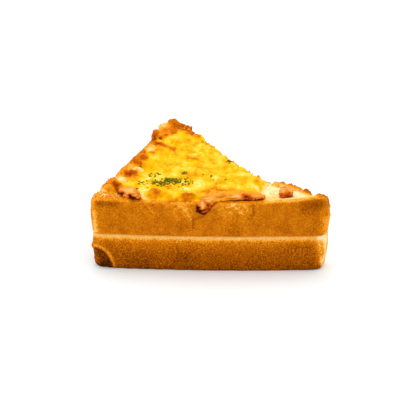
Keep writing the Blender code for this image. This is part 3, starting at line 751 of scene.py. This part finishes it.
cheese = dict(
    melted=[  # pale cream to burnt, screen colours
        (0.00, (250, 234, 158)),
        (0.17, (241, 210, 60)),
        (0.30, (240, 191, 0)),
        (0.43, (237, 170, 0)),
        (0.56, (232, 140, 4)),
        (0.68, (214, 110, 8)),
        (0.80, (180, 78, 4)),
        (0.90, (140, 50, 2)),
        (1.00, (82, 26, 0)),
    ],
    voxel=0.00045,
    relaxing=6,
    rimSteps=300,
    darkest=0.76,
    raised=[
        (0.0026, 4.2, (115.5, 185)),
        (0.0007, 2.2, (108, 190), (114, 191.5), (119, 191)),
        (0.0010, 2.2, (125, 172.5)),
        (0.0012, 2.6, (131, 172.5), (135, 173)),
        (0.0012, 2.4, (134, 162), (139, 162)),
        (0.0012, 2.8, (136, 158), (144, 156)),
        (0.0008, 2.2, (147, 157), (151, 154)),
        (0.0010, 1.8, (144, 151.5)),
        (0.0010, 1.9, (154, 142), (163, 145), (174, 149)),
        (0.0009, 5.5, (155, 193)),
        (0.0008, 4.0, (184, 196.5), (191, 196.5)),
        (0.0006, 2.6, (208, 190), (224, 189)),
        (0.0012, 2.4, (199, 137), (204, 138)),
        (-0.0008, 1.8, (140, 167.5)),
        (0.0008, 1.8, (214, 147)),
        (0.0008, 1.8, (233, 160)),
    ],
    paler=[(-0.30, 3.5, (268, 179), (269, 186), (264, 192))],
    facingUp=(0.1, 0.6),
    thinning=0.0040,  # how far in from its rim the cheese runs thin
    thinningWander=0.001,  # how uneven that is
    thickFrom=(0.0015, 0.0025),  # but not where it lies this thick
    wave=((0.0050, 0.0080, 0.005), 1.0),  # grain and seed
    ripple=((0.0020, 0.0030, 0.002), 3.0),
    waveHigh=0.0005,
    plump=0.7,  # how far the raised places swell, and how unevenly
    lumpy=[(0.6, 0.0014, 6.0)],
    raggedWide=0.002,
    ragged=[(0.0009, 0.0030, 21.0)],  # its edge along the cut
    smoothing=160,  # rounds that even it out, to find its relief
    patchy=[(0.10, (0.009, 0.006, 0.01), 8.0)],
    # ripple pales the raised ripples, a painted highlight; side browns the steep sides, a painted shade
    tones=dict(plain=0.33, wave=0.08, ripple=-0.12, relief=140.0, side=0.25, nugget=0.24),
    reliefFrom=0.0002,
    nuggetHigh=(0.0020, 0.0036),  # how thick the cheese is where nuggets start, and are whole
    nuggetInside=(0.003, 0.009),  # nuggets lie this near the rim
    uniform={
        "Roughness": 0.4,
        "Specular IOR Level": 0.015,
        "Subsurface Weight": 0.1,
        "Subsurface Scale": 0.001,
    },
    fineGrain=0.0009,
    fineTone=0.20,
    broad=(0.0040, 4.0, (1.0, 0.5, 1.0)),  # grain, detail and stretch
    broadTone=0.80,
    bump=(0.0008, 0.00018),  # grain and depth
)


def cheeseMaterial():
    made, tree, shader = newMaterial("meltedCheese", cheese["uniform"])
    fine = speckle(tree, cheese["fineGrain"]) - 0.5
    broad = speckle(tree, *cheese["broad"]) - 0.5
    tone = painted(tree, "bake") + fine * cheese["fineTone"] + broad * cheese["broadTone"]
    colour = ramp(tree, tone, cheese["melted"])
    plug(tree, shader, {"Base Color": colour, "Normal": bumped(tree, *cheese["bump"])})
    return made


def cheeseLayer(below):
    piece = evenSkin("cheese", "cheeseLayer", cheese)
    mesh = piece.data
    surface = surfaceOf(piece)
    points, normals = pointsOf(mesh), normalsOf(mesh)
    up = smoothStep(*cheese["facingUp"], normals[:, 2])
    fromRim = nearPath(points * (1, 1, 0), rimOf(points, cheese["rimSteps"]))
    wave = noiseOver(points, *cheese["wave"])
    ripple = noiseOver(points, *cheese["ripple"])
    relief = points[:, 2] - spread(mesh, points[:, 2], cheese["smoothing"])
    lift = up * cheese["waveHigh"] * (wave + ripple)
    lift += marked(points, surface, cheese["raised"]) * (cheese["plump"] + rough(points, cheese["lumpy"]))
    alongCut = np.exp(-nearPath(points * (1, 1, 0), cutPath) / cheese["raggedWide"])
    lift += alongCut * rough(points, cheese["ragged"])
    points = points + normals * lift[:, None]
    under = heightUnder(points, below)
    thin = smoothStep(0, cheese["thinning"], fromRim + cheese["thinningWander"] * wave)
    thin = np.maximum(thin, smoothStep(*cheese["thickFrom"], points[:, 2] - under))
    points[:, 2] = under + (points[:, 2] - under) * thin
    movePoints(mesh, points)
    tones = cheese["tones"]
    # paler on raised ripples, a painted highlight, and browner on steep sides, a painted shade
    bake = tones["plain"] + tones["wave"] * wave + tones["ripple"] * ripple + tones["side"] * (1 - up)
    bake += tones["relief"] * np.maximum(relief - cheese["reliefFrom"], 0) + rough(points, cheese["patchy"])
    nuggets = smoothStep(*cheese["nuggetHigh"], points[:, 2] - under)
    nuggets *= 1 - smoothStep(*cheese["nuggetInside"], fromRim)
    bake += tones["nugget"] * nuggets + marked(points, surface, topMarks + cheese["paler"])
    paint(mesh, "bake", np.minimum(bake, cheese["darkest"]))
    finished(piece, "cheese", cheeseMaterial())
    return piece


ham = dict(
    cured=[  # fat to seared edge, screen colours
        (0.00, (248, 192, 104)),
        (0.22, (244, 158, 70)),
        (0.45, (228, 126, 24)),
        (0.62, (204, 90, 6)),
        (0.78, (166, 58, 2)),
        (0.90, (104, 30, 0)),
        (1.00, (54, 14, 0)),
    ],
    glaze=(246, 168, 16),  # cheese melted over it
    glazed=[
        (1.0, 3.0, (208, 193), (222, 190.5), (240, 190.5)),
        (0.8, 2.0, (226, 193), (236, 192)),
        (0.6, 2.0, (213, 199), (222, 200.5)),
        (0.5, 2.4, (118, 186), (126, 187)),
        (1.0, 2.2, (219, 199.8), (226, 200), (231, 200.5)),
        (0.9, 1.8, (244, 191.5), (256, 192.5), (261, 194)),
    ],
    voxel=0.00030,
    relaxing=4,
    wrinkle=0.0005,
    swell=0.00025,  # melted onto what it lies on
    raised=[
        (-0.0012, 3.0, (216, 204), (211, 212)),
        (0.0007, 2.4, (196, 205), (197.5, 211)),
        (-0.0013, 3.2, (200, 216), (206, 216)),
    ],
    folds=((0.0050, 0.0013, 0.0016), 2.0, 5),  # grain, seed and sharpness; they run along the strip
    searedAndShaded=[
        (0.12, 1.4, (236, 201.5), (244, 201.5), (262, 199.5)),
        (-0.05, 3.0, (256, 196), (264, 196)),
        (0.4, 2.8, (243, 196.5), (249, 197.5)),
        # darker in the hollows either side of the hanging lump, a painted shade
        (0.5, 2.7, (197.5, 207), (198.5, 212)),
        (0.35, 2.3, (205, 210), (208, 213)),
        (0.25, 2.3, (208, 206), (210, 210)),
        (0.6, 1.5, (121, 194), (124, 192.5)),
        (0.6, 1.7, (129.5, 195), (132, 198)),
        (0.3, 1.5, (135, 199), (141, 201.5)),
        (0.08, 4.5, (283, 190), (288, 190)),
        (0.06, 3.0, (282, 195), (288, 195)),
    ],
    fat=[
        (0.25, 2.3, (233, 196), (240, 196.5)),
        (0.2, 1.9, (208, 201), (213, 200)),
        (0.4, 1.7, (202, 203), (202.5, 207)),
        (0.3, 1.9, (206, 198.5), (214, 196)),
        (0.4, 2.3, (126, 191), (131, 191)),
        (0.3, 1.9, (125.5, 195), (127.5, 197.5)),
        (0.26, 2.8, (280, 191), (291, 191)),
    ],
    lumpy=[(0.8, 0.0022, 5.0)],
    searedDeep=0.0006,  # seared and shaded places shrink by this
    # up makes faces that look up paler, a painted light; crease darkens the carved folds, a painted shade
    tones=dict(plain=0.48, up=-0.26, crease=0.30),
    patchy=[(0.12, 0.003, 7.0)],
    uniform={
        "Roughness": 0.45,
        "Specular IOR Level": 0.06,
        "Subsurface Weight": 0.1,
        "Subsurface Scale": 0.001,
    },
    marbling=(0.0012, 3.0, (0.5, 1.0, 1.0)),  # grain, detail and stretch
    marblingTone=0.4,
    bump=(0.0007, 0.0002),
)


def hamMaterial():
    made, tree, shader = newMaterial("curedHam", ham["uniform"])
    marbling = speckle(tree, *ham["marbling"]) - 0.5
    tone = painted(tree, "bake") + marbling * ham["marblingTone"]
    colour = tree.node(
        "ShaderNodeMix",
        {"data_type": "RGBA"},
        {0: painted(tree, "glazed"), 6: ramp(tree, tone, ham["cured"]), 7: linear(ham["glaze"])},
        2,
    )
    plug(tree, shader, {"Base Color": colour, "Normal": bumped(tree, *ham["bump"])})
    return made


def hamPiece(nodeName, name, material):
    piece = evenSkin(nodeName, name, ham)
    mesh = piece.data
    surface = surfaceOf(piece)
    points, normals = pointsOf(mesh), normalsOf(mesh)
    creases = creased(points, *ham["folds"])
    searedAndShaded = marked(points, surface, ham["searedAndShaded"])
    lift = ham["wrinkle"] * (rough(points, ham["lumpy"]) - creases) + ham["swell"]
    lift += marked(points, surface, ham["raised"]) - ham["searedDeep"] * np.clip(searedAndShaded, 0, 1)
    movePoints(mesh, points + normals * lift[:, None])
    tones = ham["tones"]
    # paler on faces that look up, a painted light, and darker in the folds, a painted shade
    bake = tones["plain"] + tones["up"] * normals[:, 2] + tones["crease"] * creases
    bake += rough(points, ham["patchy"]) + searedAndShaded - marked(points, surface, ham["fat"])
    paint(mesh, "bake", bake)
    paint(mesh, "glazed", marked(points, surface, ham["glazed"]) * (1 - searedAndShaded))
    finished(piece, nodeName, material)


scrap = dict(
    tilt=0.9,  # radians either way out of the surface
    sizes=(0.6, 1.5),  # smallest and largest, as a share
    crinkleScale=1400.0,
    facingUp=(0.2, 0.5),  # none lie on steeper places
)

parsley = dict(
    colours=[  # dry shade to light edge, screen colours
        (0.0, (60, 60, 3)),
        (0.5, (106, 104, 12)),
        (1.0, (168, 162, 46)),
    ],
    tones=dict(plain=0.15, shade=0.7, mottled=0.8),
    mottleGrain=0.0004,
    uniform={"Roughness": 0.7, "Specular IOR Level": 0.1},
    inputs={
        "Density": 1.0,
        "Length": 0.0015,
        "Width": 0.0012,
        "Thickness": 0.0005,
        "Crinkle": 0.0006,
        "Seed": 4,
    },
    patches=[  # flakes, half width in pixels, path on the photo
        (84, 2.4, (155, 182.5), (168, 181), (186, 181.5)),
        (48, 1.6, (155, 183), (166, 183), (178, 182.5)),
        (30, 1.8, (170, 180), (175, 180.5)),
        (18, 1.8, (152, 183), (190, 183.5)),
        (13, 1.3, (148, 175.5), (156, 175)),
        (3, 1.2, (160, 176)),
        (9, 1.3, (184, 173.5)),
        (6, 1.6, (137, 183.5), (142, 183)),
        (3, 1.2, (148.5, 187)),
        (4, 1.4, (191.5, 181)),
        (2, 1.0, (138, 189.5)),
        (4, 1.6, (204, 177), (209, 177)),
        (2, 1.0, (213, 179.3)),
        (2, 1.0, (225.6, 180)),
        (6, 0.9, (227, 161.8), (230.5, 162.4)),
        (5, 0.9, (257, 176.6), (260, 176)),
        (5, 3.0, (170, 188), (190, 188)),
        (2, 1.6, (140, 182), (146, 181)),
    ],
)

crumbs = dict(
    colours=bread["crumb"],
    tones=dict(plain=0.26, shade=0.24, mottled=0.2),
    mottleGrain=0.0006,
    uniform={"Roughness": 0.75, "Specular IOR Level": 0.04},
    inputs={
        "Density": 1.0,
        "Length": 0.0010,
        "Width": 0.0009,
        "Thickness": 0.0007,
        "Crinkle": 0.0004,
        "Seed": 9,
    },
    patches=[  # crumbs, half width in pixels, path on the photo
        (120, 3.0, (95, 195), (108, 195), (118, 196)),
        (60, 2.0, (100, 188), (112, 180)),
        (60, 3.0, (180, 128), (190, 130)),
    ],
)


def sprinkleTree():
    # scraps strewn over a surface as thickly as its attribute "strewn" says
    tree = bpy.data.node_groups.new("sprinkle", "GeometryNodeTree")
    kinds = {"Surface": "Geometry", "Seed": "Int", "Material": "Material"}
    for name in ("Surface", "Density", "Length", "Width", "Thickness", "Crinkle", "Seed", "Material"):
        kind = "NodeSocket" + kinds.get(name, "Float")
        tree.interface.new_socket(name=name, in_out="INPUT", socket_type=kind)
    tree.interface.new_socket(name="Scraps", in_out="OUTPUT", socket_type="NodeSocketGeometry")
    wire = Wire(tree)
    given = wire.node("NodeGroupInput")
    strewn = wire.node("GeometryNodeInputNamedAttribute", {"data_type": "FLOAT"}, {"Name": "strewn"})
    spots = wire.node(
        "GeometryNodeDistributePointsOnFaces",
        {"distribute_method": "RANDOM"},
        {"Mesh": given.out("Surface"), "Density": strewn * given.out("Density"), "Seed": given.out("Seed")},
    )
    tilt = scrap["tilt"]
    turn = wire.node(
        "FunctionNodeRandomValue",
        {"data_type": "FLOAT_VECTOR"},
        {0: (-tilt, -tilt, -math.pi), 1: (tilt, tilt, math.pi), "Seed": given.out("Seed")},
    )
    turned = wire.node(
        "FunctionNodeRotateRotation",
        {"rotation_space": "LOCAL"},
        {"Rotation": spots.out("Rotation"), "Rotate By": turn},
    )
    smallest, largest = scrap["sizes"]
    size = wire.node(
        "FunctionNodeRandomValue",
        {"data_type": "FLOAT"},
        {2: smallest, 3: largest, "Seed": given.out("Seed") + 1},
        1,
    )
    scale = wire.node(
        "ShaderNodeCombineXYZ",
        {},
        {"X": size * given.out("Length"), "Y": size * given.out("Width"), "Z": given.out("Thickness")},
    )
    pebble = wire.node("GeometryNodeMeshIcoSphere", {}, {"Radius": 0.5, "Subdivisions": 1})
    scraps = wire.node(
        "GeometryNodeInstanceOnPoints",
        {},
        {"Points": spots, "Instance": pebble, "Rotation": turned, "Scale": scale},
    )
    shade = wire.node(
        "FunctionNodeRandomValue",
        {"data_type": "FLOAT"},
        {"Seed": given.out("Seed") + 2},
        1,
    )
    scraps = wire.node(
        "GeometryNodeStoreNamedAttribute",
        {"data_type": "FLOAT", "domain": "INSTANCE"},
        {"Geometry": scraps, "Name": "shade", "Value": shade},
    )
    scraps = wire.node("GeometryNodeRealizeInstances", {}, {"Geometry": scraps})
    wrinkle = wire.node("ShaderNodeTexNoise", {}, {"Scale": scrap["crinkleScale"], "Detail": 1.0}) - 0.5
    push = wire.node(
        "ShaderNodeVectorMath",
        {"operation": "SCALE"},
        {0: wire.node("GeometryNodeInputNormal"), "Scale": wrinkle * given.out("Crinkle") * 2.0},
    )
    scraps = wire.node("GeometryNodeSetPosition", {}, {"Geometry": scraps, "Offset": push})
    scraps = wire.node(
        "GeometryNodeSetMaterial",
        {},
        {"Geometry": scraps, "Material": given.out("Material")},
    )
    wire.node("NodeGroupOutput", {}, {"Scraps": scraps})
    return tree


def strewnOver(mesh, surface, patches):
    # how many scraps a square metre has at each point
    points = pointsOf(mesh)
    facing = smoothStep(*scrap["facingUp"], normalsOf(mesh)[:, 2])
    areas = np.zeros(len(points))
    for face in mesh.polygons:
        areas[list(face.vertices)] += face.area / len(face.vertices)
    total = np.zeros(len(points))
    for count, width, *path in patches:
        share = marked(points, surface, [(1.0, width, *path)]) * facing
        total += count * share / (share @ areas)
    return total


def sprinkled(base, name, settings, tree, material):
    mesh = base.data.copy()
    mesh.name = name
    mesh.materials.clear()
    layer = mesh.attributes.new("strewn", "FLOAT", "POINT")
    layer.data.foreach_set("value", strewnOver(mesh, surfaceOf(base), settings["patches"]))
    piece = bpy.data.objects.new(name, mesh)
    bpy.context.scene.collection.objects.link(piece)
    modifier = piece.modifiers.new("sprinkle", "NODES")
    modifier.node_group = tree
    values = {**settings["inputs"], "Material": material}
    for item in tree.interface.items_tree:
        if item.in_out == "INPUT" and item.name in values:
            modifier[item.identifier] = values[item.name]
    graph = bpy.context.evaluated_depsgraph_get()
    piece.data = bpy.data.meshes.new_from_object(piece.evaluated_get(graph))
    piece.modifiers.clear()
    finished(piece, None, None)


def scrapMaterial(name, settings):
    # each scrap has a shade of its own
    made, tree, shader = newMaterial(name, settings["uniform"])
    mottled = speckle(tree, settings["mottleGrain"]) - 0.5
    tones = settings["tones"]
    tone = painted(tree, "shade") * tones["shade"] + mottled * tones["mottled"] + tones["plain"]
    plug(tree, shader, {"Base Color": ramp(tree, tone, settings["colours"])})
    return made


studio = dict(
    floorSize=8.0,
    paper=(247, 254, 255),
    world=0.85,
    lamps=[  # name, place, size, watts
        ("overhead", (-0.15, 0.20, 1.1), 1.2, 6.0),
        ("leftFill", (-1.0, -0.1, 0.5), 0.8, 1.2),
        ("rightFill", (1.0, 0.0, 0.5), 0.8, 0.8),
    ],
)


def buildStudio():
    scene = bpy.context.scene
    scene.view_settings.view_transform = "Standard"
    bpy.ops.mesh.primitive_plane_add(size=studio["floorSize"])
    floor = bpy.context.object
    floor.name = "floor"
    paper = newMaterial("paper", {"Base Color": linear(studio["paper"]), "Roughness": 0.9})[0]
    floor.data.materials.append(paper)
    world = bpy.data.worlds.new("studio")
    world.use_nodes = True
    sky = world.node_tree.nodes["Background"]
    sky.inputs["Color"].default_value = (1, 1, 1, 1)
    sky.inputs["Strength"].default_value = studio["world"]
    scene.world = world
    for name, place, size, watts in studio["lamps"]:
        lamp = bpy.data.lights.new(name, "AREA")
        lamp.size = size
        lamp.energy = watts
        holder = bpy.data.objects.new(name, lamp)
        holder.location = place
        holder.rotation_euler = Vector(place).to_track_quat("Z", "Y").to_euler()
        scene.collection.objects.link(holder)
    camera = bpy.data.objects.new("camera", bpy.data.cameras.new("camera"))
    camera.data.lens = photo["lens"]
    camera.data.sensor_width = photo["sensor"]
    camera.location = photo["cameraAt"]
    camera.rotation_euler = (math.pi / 2 - photo["lookDown"], 0, 0)
    scene.collection.objects.link(camera)
    scene.camera = camera
    print("studio done")


lowerSlice()
top, topSurface = upperSlice()
melt = cheeseLayer(topSurface)
sprinkle = sprinkleTree()
dried = scrapMaterial("driedParsley", parsley)
sprinkled(melt, "parsleyFlakes", parsley, sprinkle, dried)
toasted = scrapMaterial("toastedCrumb", crumbs)
sprinkled(top, "looseCrumbs", crumbs, sprinkle, toasted)
curedHam = hamMaterial()
hamPiece("ham_front", "hamFront", curedHam)
hamPiece("ham_left", "hamLeft", curedHam)
hamPiece("ham_cube", "hamCube", curedHam)
buildStudio()
